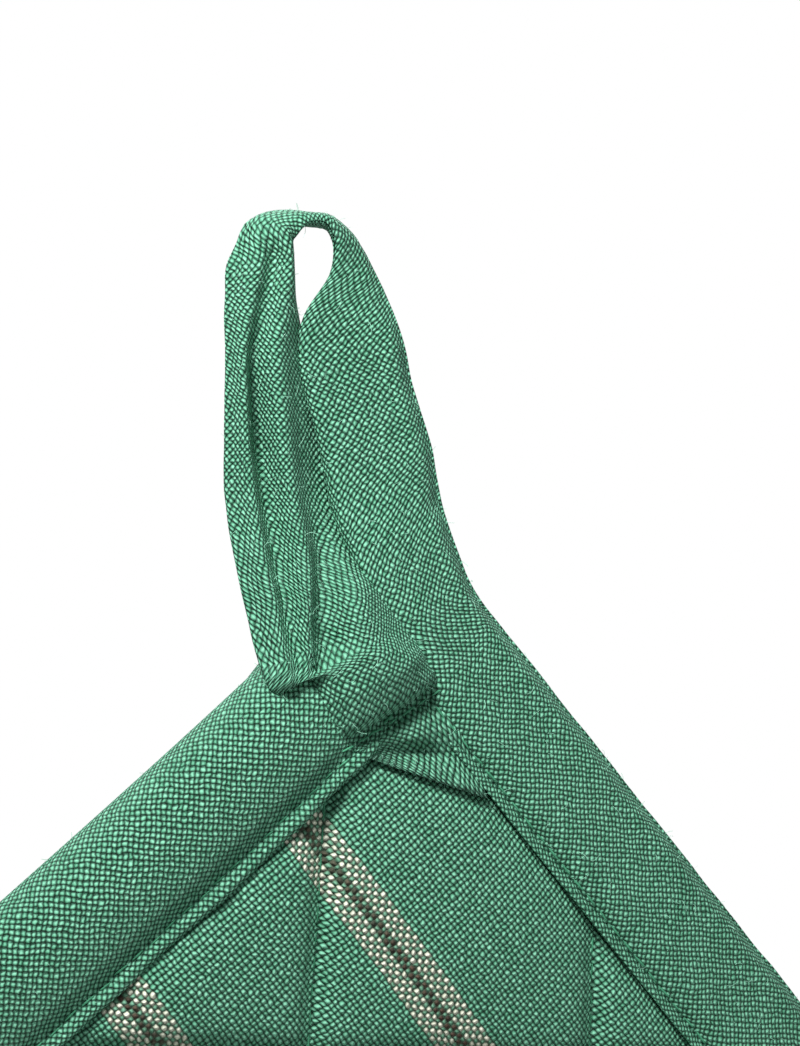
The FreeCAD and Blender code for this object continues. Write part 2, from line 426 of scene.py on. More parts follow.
# plain weave: which thread is on top, how high the cloth is, and how each thread differs
def makeWeaveGroup():
    tree = bpy.data.node_groups.new("plainWeave", "ShaderNodeTree")
    addInputs(tree, [
        ("Map", "Vector", None),
        ("Warp Pitch", "Float", 0.0006),
        ("Weft Pitch", "Float", 0.0006),
        ("Wander", "Float", 0.25),
    ])
    outputs = ("Height", "Warp On Top", "Gap", "Thread Tone", "Fibre", "Warp Number")
    for name in outputs:
        tree.interface.new_socket(name, in_out="OUTPUT", socket_type="NodeSocketFloat")
    w = Wires(tree)
    given = w.node("NodeGroupInput").outputs
    result = w.node("NodeGroupOutput")
    shifts = []
    for scale, detail in ((300.0, 2.5), (1300.0, 1.0)):
        noisy = w.node("ShaderNodeTexNoise", {"Vector": given["Map"], "Scale": scale, "Detail": detail})
        shifts.append(w.node("ShaderNodeSeparateColor", {0: noisy.outputs["Color"]}).outputs)
    drift, jostled = shifts
    parts = w.node("ShaderNodeSeparateXYZ", {0: given["Map"]}).outputs
    place, number, off = [], [], []
    for axis, pitch in enumerate(("Warp Pitch", "Weft Pitch")):
        wander = w.times(w.minus(drift[axis], 0.5), given["Wander"])
        jostle = w.times(w.minus(jostled[axis], 0.5), 0.5)
        along = w.plus(w.calc("DIVIDE", parts[axis], given[pitch]), w.times(wander, 3.0))
        along = w.plus(along, jostle)
        place.append(along)
        number.append(w.calc("FLOOR", along))
        off.append(w.calc("ABSOLUTE", w.minus(w.calc("FRACT", along), 0.5)))
    heights = []
    for me, other, sign, lift in ((0, 1, 1.0, 0.14), (1, 0, -1.0, -0.04)):
        phase = w.plus(w.minus(place[other], 0.5), number[me])
        swing = w.times(w.calc("COSINE", w.times(phase, math.pi)), 0.5 * sign)
        across = w.times(off[me], 2.1)
        squared = w.calc("MAXIMUM", w.minus(1.0, w.times(across, across)), 0.0)
        roundness = w.calc("SQRT", squared)
        heights.append(w.plus(w.plus(swing, lift), w.times(roundness, 0.62)))
    onTop = w.calc("GREATER_THAN", heights[0], heights[1])
    height = w.calc("MAXIMUM", heights[0], heights[1])
    tones = []
    for me in (0, 1):
        seed = w.plus(number[me], 41.3 * me)
        tones.append(w.value("ShaderNodeTexWhiteNoise", {"W": seed}, noise_dimensions="1D"))
    slub = w.value("ShaderNodeTexNoise", {"Vector": given["Map"], "Scale": 900.0, "Detail": 2.0})
    picked = w.value("ShaderNodeMix", {0: onTop, 2: tones[1], 3: tones[0]})
    cell = w.value("ShaderNodeCombineXYZ", {0: number[0], 1: number[1]})
    nub = w.value("ShaderNodeTexWhiteNoise", {"Vector": cell}, noise_dimensions="2D")
    tone = w.plus(w.times(picked, 0.22), w.times(nub, 0.43))
    tone = w.plus(tone, w.times(slub, 0.35))
    ply = w.calc("SINE", w.plus(w.times(place[0], 9.0), w.times(place[1], 7.0)))
    hairs = w.value("ShaderNodeTexNoise", {"Vector": given["Map"], "Scale": 9000.0, "Detail": 3.0})
    fibre = w.plus(w.times(ply, 0.35), w.times(w.minus(hairs, 0.5), 1.6))
    # Gap is the mask for painted shade: high where the cloth lies low between the threads
    found = (height, onTop, w.remap(height, 1.08, 0.42), tone, fibre, number[0])
    for name, value in zip(outputs, found):
        w.put(result.inputs[name], value)
    return tree


weaveGroup = makeWeaveGroup()


# a new material, short calls for its tree, and its surface
def startMaterial(name):
    material = bpy.data.materials.new(name)
    material.use_nodes = True
    return material, Wires(material.node_tree), material.node_tree.nodes["Principled BSDF"]


def clothMaterial(name, dye, striped=False, depth=0.7, warp=None, weft=None, wander=0.4):
    material, w, surface = startMaterial(name)
    base, pale, darkGapShade = cloth[dye], cloth[dye + "Pale"], cloth[dye + "Deep"]
    surface.inputs["Sheen Weight"].default_value = 0.07
    surface.inputs["Sheen Roughness"].default_value = 0.4
    surface.inputs["Sheen Tint"].default_value = (0.6, 1.0, 0.8, 1)
    surface.inputs["Specular IOR Level"].default_value = 0.3
    clothMap = w.value("ShaderNodeUVMap", uv_map="clothMap")
    weave = w.node("ShaderNodeGroup", node_tree=weaveGroup)
    w.put(weave.inputs["Map"], clothMap)
    w.put(weave.inputs["Warp Pitch"], warp or cloth["warpPitch"])
    w.put(weave.inputs["Weft Pitch"], weft or cloth["weftPitch"])
    w.put(weave.inputs["Wander"], wander)
    out = weave.outputs
    # painted highlight: the tops of the thread nubs are mixed towards the pale colour by their height, added
    # to each thread's own random tone
    paintedNubHighlight = w.remap(out["Height"], 0.72, 1.25, 0.0, 0.55)
    toneAndNubHighlight = w.plus(w.remap(out["Thread Tone"], 0.25, 0.8, 0.0, 0.6), paintedNubHighlight)
    colour = w.mixColour(toneAndNubHighlight, base, pale)
    if striped:
        shifted = w.plus(out["Warp Number"], float(-cloth["stripeStart"]))
        place = w.calc("FLOORED_MODULO", shifted, float(cloth["stripeThreads"]))
        inBand = w.calc("LESS_THAN", place, 9.5)
        inStripe = w.times(inBand, out["Warp On Top"])
        colour = w.mixColour(w.times(inBand, 0.45), colour, cloth["bandGround"])
        middle = w.calc("LESS_THAN", w.calc("ABSOLUTE", w.minus(place, 4.5)), 1.0)
        creamTone = w.mixColour(toneAndNubHighlight, cloth["cream"], cloth["creamPale"])
        brownTone = w.mixColour(w.remap(out["Thread Tone"], 0.3, 0.8), cloth["brown"], cloth["brownPale"])
        stripe = w.mixColour(middle, creamTone, brownTone)
        colour = w.mixColour(inStripe, colour, stripe)
    patches = w.value("ShaderNodeTexNoise", {"Vector": clothMap, "Scale": 70.0, "Detail": 3.0})
    colour = w.mixColour(w.remap(patches, 0.35, 0.7, 0.0, 0.12), colour, pale)
    # painted shade: the low places between threads are mixed towards a dark colour where shade falls, a
    # greyer one in the stripe band
    gapShadeColour = w.mixColour(inBand, darkGapShade, cloth["bandGapShade"]) if striped else darkGapShade
    colour = w.mixColour(w.remap(out["Gap"], 0.1, 0.95, 0.0, 0.96), colour, gapShadeColour)
    w.put(surface.inputs["Base Color"], colour)
    w.put(surface.inputs["Roughness"], w.remap(out["Fibre"], -1.0, 1.0, 0.55, 0.85))
    relief = w.plus(w.times(out["Height"], depth * mm), w.times(out["Fibre"], cloth["fibreDepth"] * mm))
    bump = w.value("ShaderNodeBump", {"Strength": 1.0, "Distance": 1.0, "Height": relief})
    w.put(surface.inputs["Normal"], bump)
    return material


greenCloth = clothMaterial("stripedCloth", "green", striped=True, wander=0.26)
tapeCloth = clothMaterial("tapeCloth", "green", depth=0.74)
liningCloth = clothMaterial("liningCloth", "beige", depth=0.06, warp=0.5 * mm, weft=0.52 * mm)
print("materials made")

# the panels, each a padded layer in two parts that meet in the quilting line at the thumb's root
panelGrid = {"fine": 1.125, "coarse": 2.25, "fineU": 88.0, "fineV": 92.0, "edge": 0.9, "cuffEdge": 0.4}
splitRise = puff["riseStart"] + 5 * puff["quiltSpacing"]


# the outlines of the palm and finger part and of the thumb part
def panelRegions():
    edge = roundedOutline(panelGrid["edge"], 1.5, panelGrid["cuffEdge"])
    rise = (edge[:, 0] + edge[:, 1]) / rootTwo
    crotchPlace = np.array([pattern["fingerSide"] + 5, pattern["crotch"] + 13])
    first = int(np.argmin(np.linalg.norm(edge - crotchPlace, axis=1)))
    after = np.arange(len(edge)) > first + 40
    last = int(np.argmax(after & (rise < splitRise)))
    start, end = edge[first], edge[last]
    foot = start + (splitRise - rise[first]) / rootTwo * np.array([1, 1])
    onLine = end + (splitRise - rise[last]) / rootTwo * np.array([1, 1])
    cut = resampled(np.array([start, foot, onLine]), panelGrid["fine"])
    mouth = resampled(np.array([edge[-1], edge[0]]), panelGrid["fine"])[1:-1]
    palm = np.concatenate([edge[:first], cut, edge[last + 1 :], mouth])
    thumb = np.concatenate([edge[first + 1 : last], cut[::-1]])
    return {"palm": palm, "thumb": thumb}


regions = panelRegions()
panels = {}
for part, polygon in regions.items():
    flat, faces = meshRegion(polygon, panelGrid)
    d = fromSeam(flat[:, 0], flat[:, 1])
    top = panelTop(flat[:, 0], flat[:, 1], d)
    under = np.maximum(top - puff["padThickness"], 1.15 - 0.2 * (d < 3))
    for side, face in ((-1, "front"), (1, "back")):
        panels[(face, part)] = closedPanel(f"{face}Panel_{part}", flat, faces, top, under, side, greenCloth)
        outside = under - puff["linerGap"]
        inside = np.maximum(outside - puff["liningThickness"], 0.2)
        made = closedPanel(f"{face}Lining_{part}", flat, faces, outside, inside, side, liningCloth)
        panels[(face + "Lining", part)] = made
    print("panel part", part, len(flat), "points")

stitching = {
    "thread": 0.27,
    "quiltEvery": 3.0,
    "quiltLength": 2.3,
    "seamEvery": 2.5,
    "seamLength": 1.9,
    "sideHeight": 7.0,
    "tailLength": 1.8,
    "seed": 7,
}

# the cuff binding, a tape rolled over the mouth's edge. each point is v and the height over the panel
cuff = {
    "start": 6.0,
    "end": 149.0,
    "step": 0.8,
    "thickness": 1.0,
    "rollFull": 31.0,
    "rollLeast": 0.38,
    "least": 0.35,
    "roll": [
        (14.8, -1.0), (14.75, 0.1), (14.35, 0.75), (13.8, 0.85), (13.25, 0.4), (12.75, -0.05), (12.2, 0.3),
        (11.0, 1.35), (8.6, 2.3), (5.4, 2.75), (2.2, 2.3), (-0.2, 1.0), (-1.5, -1.2), (-1.7, -3.6),
        (-0.6, -6.0), (1.8, -7.2), (5.5, -7.3), (9.5, -6.9), (12.4, -6.6), (13.8, -6.4),
    ],
}


# a tape's own map: its threads run at 45 degrees to its length
def biasMap(along, across):
    return np.stack([along + across, across - along], axis=-1) / rootTwo * mm


# smooth bumps over two grids of pattern places
def bumpsOver(u, v, size, seed):
    return ripple(np.stack([u.ravel(), v.ravel(), np.zeros(u.size)], axis=1), size, seed).reshape(u.shape)


# 1 on one row of the pattern, falling off within that reach of it
def nearRow(v, row, reach):
    return np.exp(-(((v - row) / reach) ** 2))


def cuffBinding(name, side):
    c = cuff
    us = np.arange(c["start"], c["end"] + c["step"] / 2, c["step"])
    roll = np.array(c["roll"], float)
    knots = lengthsAlong(roll)
    at = np.linspace(0, knots[-1], 64)
    shape = curveThrough(knots, roll, at)
    fromSide = np.minimum(us, pattern["cuff"] - us)
    half = restingHalf(fromSide)
    fullness = c["rollLeast"] + (1 - c["rollLeast"]) * smoothStep(fromSide, 19.0, c["rollFull"])
    u = np.repeat(us[:, None], len(at), axis=1)
    v = np.repeat(shape[None, :, 0], len(us), axis=0)
    rise = shape[None, :, 1] * np.where(shape[None, :, 1] > 0, fullness[:, None], 1.0)
    outside = np.clip((shape[:, 1] + 3.0) / 3.0, 0, 1)[None, :]
    none = np.zeros_like(u)
    soft = bumpsOver(u, v, 17.0, 5.0 + side) * 0.34 + bumpsOver(u, v, 6.0, 1.0) * 0.14
    ruffle = nearRow(v, 14.0, 0.8) * (bumpsOver(u, v, 2.6, 7.0) * 0.55)
    drag = nearRow(v, 12.8, 1.3) * np.sin(2 * math.pi * u / stitching["seamEvery"]) * 0.13
    folds = nearRow(v, 9.0, 4.0) * bumpsOver(u - v * 0.9, none, 5.5, 2.0) * 0.22
    w = half[:, None] + rise + outside * (soft + ruffle + drag + folds)
    w = np.maximum(w, c["least"])
    edgeWave = nearRow(v, 14.3, 0.6) * bumpsOver(u, v, 4.3, 4.0) * 0.35
    outer = hang(u, v + edgeWave, side * w)
    normals = gridNormals(outer)
    if normals[:, 20, 1].mean() * side < 0:
        normals = -normals
    inner = outer - normals * c["thickness"] * mm
    across = np.repeat(at[None, :], len(us), axis=0)
    return closedSkin(name, outer, inner, biasMap(u, across), tapeCloth, flip=side > 0)


cuffs = {"front": cuffBinding("frontCuffBinding", -1), "back": cuffBinding("backCuffBinding", 1)}
print("cuff binding made")


# the tape that binds the side, leaves it as the hanging loop and comes back as a tail sewn to the corner.
# a station is a cut across the tape: its folded edge, its open edge, where five ridges and valleys lie
# between them, seven heights of the front face (edge, the five, edge) and three of the back face
loop = {
    "thickness": 0.9,
    "step": 0.8,
    "frontPoints": 44,
    "backPoints": 26,
    "seamOut": 1.4,
    "seamIn": 14.2,
    "sideEnd": 186.0,
    "seamDepth": 0.55,
    "leastGap": 0.12,
    "rounding": 0.9,
    "bedGap": 0.25,
    "tailHeight": 0.95,
    "hump": 0.95,
    "tail": [
        ((3.6, -62.8), (20.0, -68.6), (10.9, 10.8, 10.7, 10.5, 10.1, 9.2, 7.4), (10.1, 9.8, 6.6)),
        ((3.0, -62.6), (18.0, -62.6), (11.2, 11.0, 10.8, 10.5, 10.1, 9.2, 7.2), (10.4, 9.8, 6.4)),
        ((2.4, -62.5), (16.0, -57.2), (11.1, 10.8, 10.3, 9.7, 8.9, 7.9, 6.7), (10.4, 9.0, 5.9)),
        ((1.6, -62.1), (15.2, -55.0), (10.9, 10.4, 9.8, 9.1, 8.3, 7.3, 6.4), (10.2, 8.6, 5.6)),
        ((0.6, -60.9), (14.3, -53.9), (10.7, 11.3, 11.5, 11.2, 10.4, 8.8, 6.5), (10.2, 9.4, 5.8)),
        ((-0.9, -58.9), (13.2, -52.2), (10.9, 12.0, 12.6, 12.5, 11.8, 9.7, 6.6), (10.4, 10.0, 5.8)),
        ((-2.5, -56.0), (12.0, -50.4), (10.4, 12.3, 13.1, 13.2, 12.6, 10.4, 6.6), (9.4, 10.2, 5.6)),
    ],
    "tailFolds": (0.1, 0.25, 0.45, 0.65, 0.85),
    "leftLeg": [
        ((-3.4, -54.3), (11.3, -49.2), (.07, .13, .22, .45, .65), (9.9, 11.4, 12.4, 12.9, 13.2, 12.8, 6.2),
         (8.8, 10.0, 5.2)),
        ((-5.0, -54.5), (10.7, -48.1), (.06, .11, .16, .26, .65), (9.8, 11.2, 12.1, 12.5, 12.7, 12.6, 6.0),
         (8.6, 9.6, 5.0)),
        ((-6.9, -55.4), (10.2, -47.2), (.06, .16, .19, .23, .66), (12.3, 13.2, 12.2, 12.4, 11.9, 12.3, 5.8),
         (11.2, 9.6, 4.8)),
        ((-8.1, -53.6), (9.8, -46.4), (.084, .23, .263, .296, .68), (12.3, 13.2, 11.2, 12.8, 11.3, 11.8, 5.4),
         (10.4, 9.0, 4.4)),
        ((-8.7, -50.6), (9.0, -45.2), (.10, .243, .305, .356, .70), (9.8, 12.0, 9.4, 12.0, 9.8, 10.9, 5.0),
         (8.4, 7.0, 4.0)),
        ((-9.2, -46.5), (7.6, -43.0), (.113, .255, .37, .45, .755), (7.5, 10.0, 7.0, 10.6, 7.6, 9.0, 4.4),
         (6.0, 4.0, 3.0)),
        ((-9.9, -41.0), (5.5, -39.5), (.13, .29, .47, .64, .80), (4.5, 7.2, 3.8, 7.8, 3.6, 4.4, 2.4),
         (3.0, 0.6, 1.6)),
        ((-10.6, -32.8), (2.8, -33.4), (.14, .31, .52, .74, .90), (1.5, 4.0, 1.0, 4.9, 1.6, 0.2, -0.2),
         (-0.5, -2.2, -1.6)),
        ((-10.5, -20.8), (1.8, -21.2), (.10, .235, .44, .70, .90), (0.5, 2.7, -0.4, 3.5, 1.0, -0.9, -1.3),
         (-0.8, -2.4, -2.4)),
        ((-10.5, -14.5), (-0.1, -15.0), (.12, .26, .50, .75, .90), (0.4, 2.4, 0.6, 3.3, 1.7, -0.1, -0.9),
         (-0.8, -2.2, -1.9)),
        ((-10.5, -8.6), (-1.9, -8.0), (.28, .55, .72, .85, .93), (0.2, 2.4, 1.1, 3.0, 2.8, 2.2, 1.4),
         (-0.8, -2.2, -0.4)),
        ((-9.7, -3.4), (-2.4, -2.6), (.35, .68, .80, .90, .96), (-0.6, 2.0, 1.5, 3.0, 3.1, 2.8, 2.2),
         (-1.8, -2.6, -0.2)),
    ],
    "overFolds": (0.2, 0.4, 0.6, 0.75, 0.9),
    "over": [
        ((-7.5, 2.6, 0.7), (-2.2, -2.4, -0.9), (-0.35, -0.6, 0.72), (0.3, 1.4, 1.7, 1.8, 1.6, 1.2, 0.6)),
        ((-4.5, 4.2, 1.9), (-1.3, -3.0, 0.3), (-0.15, -0.45, 0.88), (0.3, 1.1, 1.3, 1.3, 1.2, 0.9, 0.5)),
        ((-0.5, 4.8, 1.5), (0.0, -3.4, 0.7), (0.0, -0.35, 0.94), (0.2, 0.9, 1.1, 1.1, 1.0, 0.8, 0.4)),
        ((3.4, 4.2, 1.2), (1.4, -3.2, 0.3), (0.25, -0.45, 0.86), (0.2, 0.9, 1.1, 1.1, 1.0, 0.8, 0.4)),
        ((6.0, 2.6, -0.6), (2.4, -2.6, -1.6), (0.5, -0.6, 0.62), (0.2, 0.9, 1.1, 1.1, 1.0, 0.8, 0.4)),
        ((8.0, 1.0, -4.2), (2.0, -1.8, -5.4), (0.35, -0.88, 0.32), (0.2, 1.0, 1.2, 1.2, 1.1, 0.9, 0.5)),
        ((9.8, 0.3, -8.4), (-0.9, -1.0, -10.0), (0.1, -1.0, 0.1), (0.1, 1.2, 1.4, 1.4, 1.3, 1.1, 0.7)),
    ],
    "overBack": (-0.6, -0.8, -0.5),
    "rightFolds": (0.1, 0.3, 0.5, 0.72, 0.92),
    "rightLeg": [
        ((11.2, -12.0), (-1.8, -14.2), (0.0, 1.4, 1.6, 1.6, 1.5, 1.4, 1.1), (-0.2, -1.4, -1.0)),
        ((13.1, -19.3), (0.1, -22.6), (0.0, 1.4, 1.6, 1.6, 1.5, 1.4, 1.1), (-0.2, -1.4, -1.0)),
        ((15.0, -25.3), (1.7, -29.4), (0.0, 1.5, 1.8, 1.9, 1.9, 1.9, 1.8), (-0.2, -1.4, -1.2)),
        ((16.0, -30.4), (2.9, -35.6), (0.0, 1.6, 2.0, 2.4, 2.8, 3.2, 3.6), (0.0, -1.7, -2.2)),
        ((17.6, -36.4), (5.2, -42.4), (0.0, 2.0, 3.0, 3.9, 4.8, 5.4, 5.8), (0.0, -3.4, -5.2)),
        ((20.1, -42.5), (8.8, -48.6), (0.0, 2.4, 3.6, 4.9, 6.2, 6.6, 7.1), (0.0, -4.9, -7.1)),
    ],
    "sideFolds": (0.08, 0.25, 0.5, 0.75, 0.93),
    "sideFront": (0.0, 2.5, 4.0, 5.7, 7.1, 6.9, 7.5),
    "dents": [(14.6, -33.6, 1.5, -0.55), (9.0, -35.8, 3.2, 0.45), (6.5, -31.0, 2.6, -0.3)],
}
towardFront = (0.0, -1.0, 0.0)


# one station in full: folded edge, open edge, direction of the heights, fold places, front and back heights
def station(outer, inner, folds, front, back, facing=towardFront, shut=1.0):
    outer, inner = ((p[0], 0.0, p[1]) if len(p) == 2 else p for p in (outer, inner))
    facing = unit(np.array(facing))
    places = np.concatenate([[0], folds, [1]])
    back = np.interp(places, (0, 0.5, 1), back) if len(back) == 3 else back
    return np.concatenate([outer, inner, facing, folds, front, back, [shut]])


# stations along the side seam between two places on it
def sideStations(first, last, step=2.0, fullness=1.0):
    line = seamLine[first : last + 1] if first <= last else seamLine[last : first + 1][::-1]
    line = resampled(line, step)
    run = np.gradient(line, axis=0)
    run /= np.linalg.norm(run, axis=1, keepdims=True)
    sense = 1 if first <= last else -1
    inward = np.stack([run[:, 1], -run[:, 0]], axis=1) * sense
    front = np.array(loop["sideFront"]) * fullness
    made = []
    for p, n in zip(line, inward):
        outer, inner = (hang(*place, 0) / mm for place in (p - n * loop["seamOut"], p + n * loop["seamIn"]))
        made.append(station(outer, inner, loop["sideFolds"], front, -front, shut=0.0))
    return made


# how far the tape's face has rounded off this near its open edge
def edgeShare(fromOpen):
    return 1 - np.sqrt(1 - np.clip(1 - fromOpen / loop["rounding"], 0, 1) ** 2)


# a folded tape swept through stations: the outside of the fold, and the inside of it one thickness deeper
def tapeSkin(name, stations, step=1.0, seed=0.0, dents=(), settle=None, groove=None):
    t = loop
    table = np.array(stations)
    middle = (table[:, 0:3] + table[:, 3:6]) / 2
    knots = lengthsAlong(middle)
    at = np.linspace(0, knots[-1], max(3, int(knots[-1] / step)))
    rows = curveThrough(knots, table, at)
    across = (1 - np.cos(np.linspace(0, 1, loop["frontPoints"]) * math.pi)) / 2
    acrossBack = (1 - np.cos(np.linspace(0, 1, loop["backPoints"]) * math.pi)) / 2
    across = 0.55 * across + 0.45 * np.linspace(0, 1, loop["frontPoints"])
    bend = np.linspace(0, math.pi, 7)[1:-1]
    outerRows, innerRows, sides = [], [], []
    for row in rows:
        folded, opened, facing = row[0:3], row[3:6], unit(row[6:9])
        edgeGap = max(row[14] - row[21], 0.5)
        folded = folded + unit(opened - folded) * edgeGap / 2
        places = np.concatenate([[0], row[9:14], [1]])
        front, back, shut = row[14:21], row[21:28], np.clip(row[28], 0, 1)
        width = np.linalg.norm(opened - folded)
        f, b = curveThrough(places, front, across), curveThrough(places, back, acrossBack)
        fromOpen, fromOpenBack = (1 - across) * width, (1 - acrossBack) * width
        f = f - t["seamDepth"] * (nearRow(fromOpen, 1.45, 0.42) * (1 - shut))
        b = b + t["seamDepth"] * (nearRow(fromOpenBack, 1.45, 0.42) * (1 - shut))
        low, high = np.interp(across, acrossBack, b), np.interp(acrossBack, across, f)
        f = f - shut * edgeShare(fromOpen) * np.maximum(f - low - t["leastGap"], 0) / 2
        b = b + shut * edgeShare(fromOpenBack) * np.maximum(high - b - t["leastGap"], 0) / 2
        mid = (front[0] + back[0]) / 2
        s = np.concatenate([across[::-1], -np.sin(bend) * edgeGap / 2 / width, acrossBack])
        h = np.concatenate([f[::-1], mid + np.cos(bend) * edgeGap / 2, b])
        least = np.interp(across[::-1], acrossBack, b) + t["leastGap"]
        h[: len(across)] = np.maximum(h[: len(across)], least)
        frontAt, backAt = np.interp(s, across, f), np.interp(s, acrossBack, b)
        centre, halfGap = (frontAt + backAt) / 2, np.abs(frontAt - backAt) / 2
        wall = np.minimum(t["thickness"], 0.84 * halfGap)
        share = np.clip((h - centre) / np.maximum(halfGap, 0.05), -1, 1)
        hIn = centre + share * np.maximum(halfGap - wall, 0.02)
        sIn = np.maximum(s, min(t["thickness"] / width, 0.09))
        outer = folded + (opened - folded) * s[:, None] + facing * h[:, None]
        outerRows.append(outer)
        innerRows.append(folded + (opened - folded) * sIn[:, None] + facing * hIn[:, None])
        sides.append(lengthsAlong(outer))
    outer, inner = np.array(outerRows), np.array(innerRows)
    if settle is not None:
        rowsDown = np.interp(np.arange(len(at)), np.searchsorted(at, knots[list(settle)]), (1.0, 0.0))
        for k in np.flatnonzero(rowsDown > 0):
            offset = outer[k] - corner
            u, v = offset @ alongCuff, offset @ alongHand
            bed = panelTop(u, v, fromSeam(u, v)) + t["bedGap"]
            isFront = np.arange(len(u)) < len(across) + 2
            sunk = np.where(isFront, bed + t["tailHeight"], bed)
            change = (sunk + outer[k][:, 1]) * rowsDown[k]
            outer[k][:, 1] -= change
            inner[k][:, 1] -= change
    if groove is not None:
        place, depth, width = groove
        gone = at - knots[place]
        dip = depth * nearRow(gone, 0, width) - t["hump"] * nearRow(gone, -2.6, 3.0)
        outer[:, : len(across) - 3, 1] += dip[:, None]
        inner[:, : len(across) - 3, 1] += dip[:, None]
    normals = gridNormals(outer)
    if (normals[:, 12] * (outer[:, 12] - inner[:, 12])).sum() < 0:
        normals = -normals
    flatPlaces = outer.reshape(-1, 3)
    bumps = 0.16 * ripple(flatPlaces, 8.0, 3.3 + seed) + 0.08 * ripple(flatPlaces, 3.2, 8.1 + seed)
    for x, z, size, depth in dents:
        near = ((flatPlaces[:, 0] - x) ** 2 + (flatPlaces[:, 2] - z) ** 2) / size**2
        bumps = bumps + depth * np.exp(-near) * (normals.reshape(-1, 3)[:, 1] < 0)
    lift = normals * bumps.reshape(outer.shape[:2])[..., None]
    outer, inner = outer + lift, inner + lift
    along = np.repeat(at[:, None], outer.shape[1], axis=1)
    made = closedSkin(name, outer * mm, inner * mm, biasMap(along + seed, np.array(sides)), tapeCloth)
    return made, outer


def seamIndex(u, v):
    return int(np.argmin(np.linalg.norm(seamLine - np.array([u, v]), axis=1)))


loopStations = [station(a, b, loop["tailFolds"], c, d) for a, b, c, d in loop["tail"]]
loopStations += [station(*row) for row in loop["leftLeg"]]
loopStations += [station(a, b, loop["overFolds"], c, loop["overBack"], n) for a, b, n, c in loop["over"]]
loopStations += [station(a, b, loop["rightFolds"], c, d) for a, b, c, d in loop["rightLeg"]]
crotchIndex = seamIndex(pattern["fingerSide"] + 4, pattern["crotch"] + 13)
seamRise = (seamLine[:, 0] + seamLine[:, 1]) / rootTwo
afterThumb = np.arange(len(seamLine)) > crotchIndex + 40
thumbEnd = int(np.argmax(afterThumb & (seamRise < splitRise)))
cuffEnd = seamIndex(pattern["cuff"], -1.9)
firstSide = seamIndex(0, 17)
tapes = {}
loopStations += sideStations(firstSide, seamIndex(2, loop["sideEnd"]))
onCuff = {"dents": loop["dents"], "settle": (3, 4), "groove": (3, 1.25, 0.5)}
tapes["loop"] = tapeSkin("loopTape", loopStations, loop["step"], **onCuff)
print("loop made")
fingerPart = sideStations(seamIndex(2, loop["sideEnd"] - 8), crotchIndex + 1, fullness=1.04)
tapes["fingers"] = tapeSkin("fingerTape", fingerPart, 1.3, seed=5.0)
thumbPart = sideStations(crotchIndex - 1, thumbEnd, fullness=1.02)
tapes["thumb"] = tapeSkin("thumbTape", thumbPart, 1.3, seed=9.0)
tapes["base"] = tapeSkin("baseTape", sideStations(thumbEnd - 1, cuffEnd), 1.3, seed=13.0)
print("side tapes made")


# a tree over a geometry with these inputs, short calls for it, and what it is given
def startTree(name, rows):
    tree = bpy.data.node_groups.new(name, "GeometryNodeTree")
    ends = [("Seed", "Int", 1), ("Material", "Material", None)]
    addInputs(tree, [("Geometry", "Geometry", None)] + rows + ends)
    tree.interface.new_socket("Geometry", in_out="OUTPUT", socket_type="NodeSocketGeometry")
    return Wires(tree), Wires(tree).node("NodeGroupInput").outputs


# copies of one thing on the points, made real and given the tree's material
def endTree(w, given, points, copied, rotation, scale, smooth):
    copies = {"Points": points, "Instance": copied, "Rotation": rotation, "Scale": scale}
    real = w.value("GeometryNodeRealizeInstances", {0: w.value("GeometryNodeInstanceOnPoints", copies)})
    if smooth:
        real = w.value("GeometryNodeSetShadeSmooth", {"Geometry": real})
    done = w.value("GeometryNodeSetMaterial", {"Geometry": real, "Material": given["Material"]})
    w.put(w.node("NodeGroupOutput").inputs[0], done)
    return w.tree


def randomTurn(w, given, rotation, low, high):
    limits = {0: low, 1: high, "Seed": given["Seed"]}
    wild = w.value("FunctionNodeRandomValue", limits, data_type="FLOAT_VECTOR")
    both = {"Rotation": rotation, "Rotate By": wild}
    return w.value("FunctionNodeRotateRotation", both, rotation_space="LOCAL")


def randomShare(w, given, low, high):
    made = w.node("FunctionNodeRandomValue", {2: low, 3: high, "Seed": given["Seed"]}, data_type="FLOAT")
    return made.outputs[1]


def storedVector(w, name):
    return w.value("GeometryNodeInputNamedAttribute", {"Name": name}, data_type="FLOAT_VECTOR")


# stitches, each a short thread laid on the cloth
def makeStitchTree():
    rows = [("Length", "Float", 0.002), ("Thickness", "Float", 0.0004), ("Jitter", "Float", 0.12)]
    w, given = startTree("layStitches", rows)
    ball = w.value("GeometryNodeMeshUVSphere", {"Segments": 8, "Rings": 6, "Radius": 0.5})
    sizes = (given["Length"], given["Thickness"], given["Thickness"])
    size = w.value("ShaderNodeCombineXYZ", dict(enumerate(sizes)))
    shaped = w.value("GeometryNodeTransform", {"Geometry": ball, "Scale": size})
    along, up = storedVector(w, "stitchAlong"), storedVector(w, "stitchUp")
    first = w.value("FunctionNodeAlignRotationToVector", {"Vector": along}, axis="X")
    both = {"Rotation": first, "Vector": up}
    second = w.value("FunctionNodeAlignRotationToVector", both, axis="Z", pivot_axis="X")
    turned = randomTurn(w, given, second, w.times(given["Jitter"], -1.0), given["Jitter"])
    return endTree(w, given, given["Geometry"], shaped, turned, randomShare(w, given, 0.86, 1.14), True)


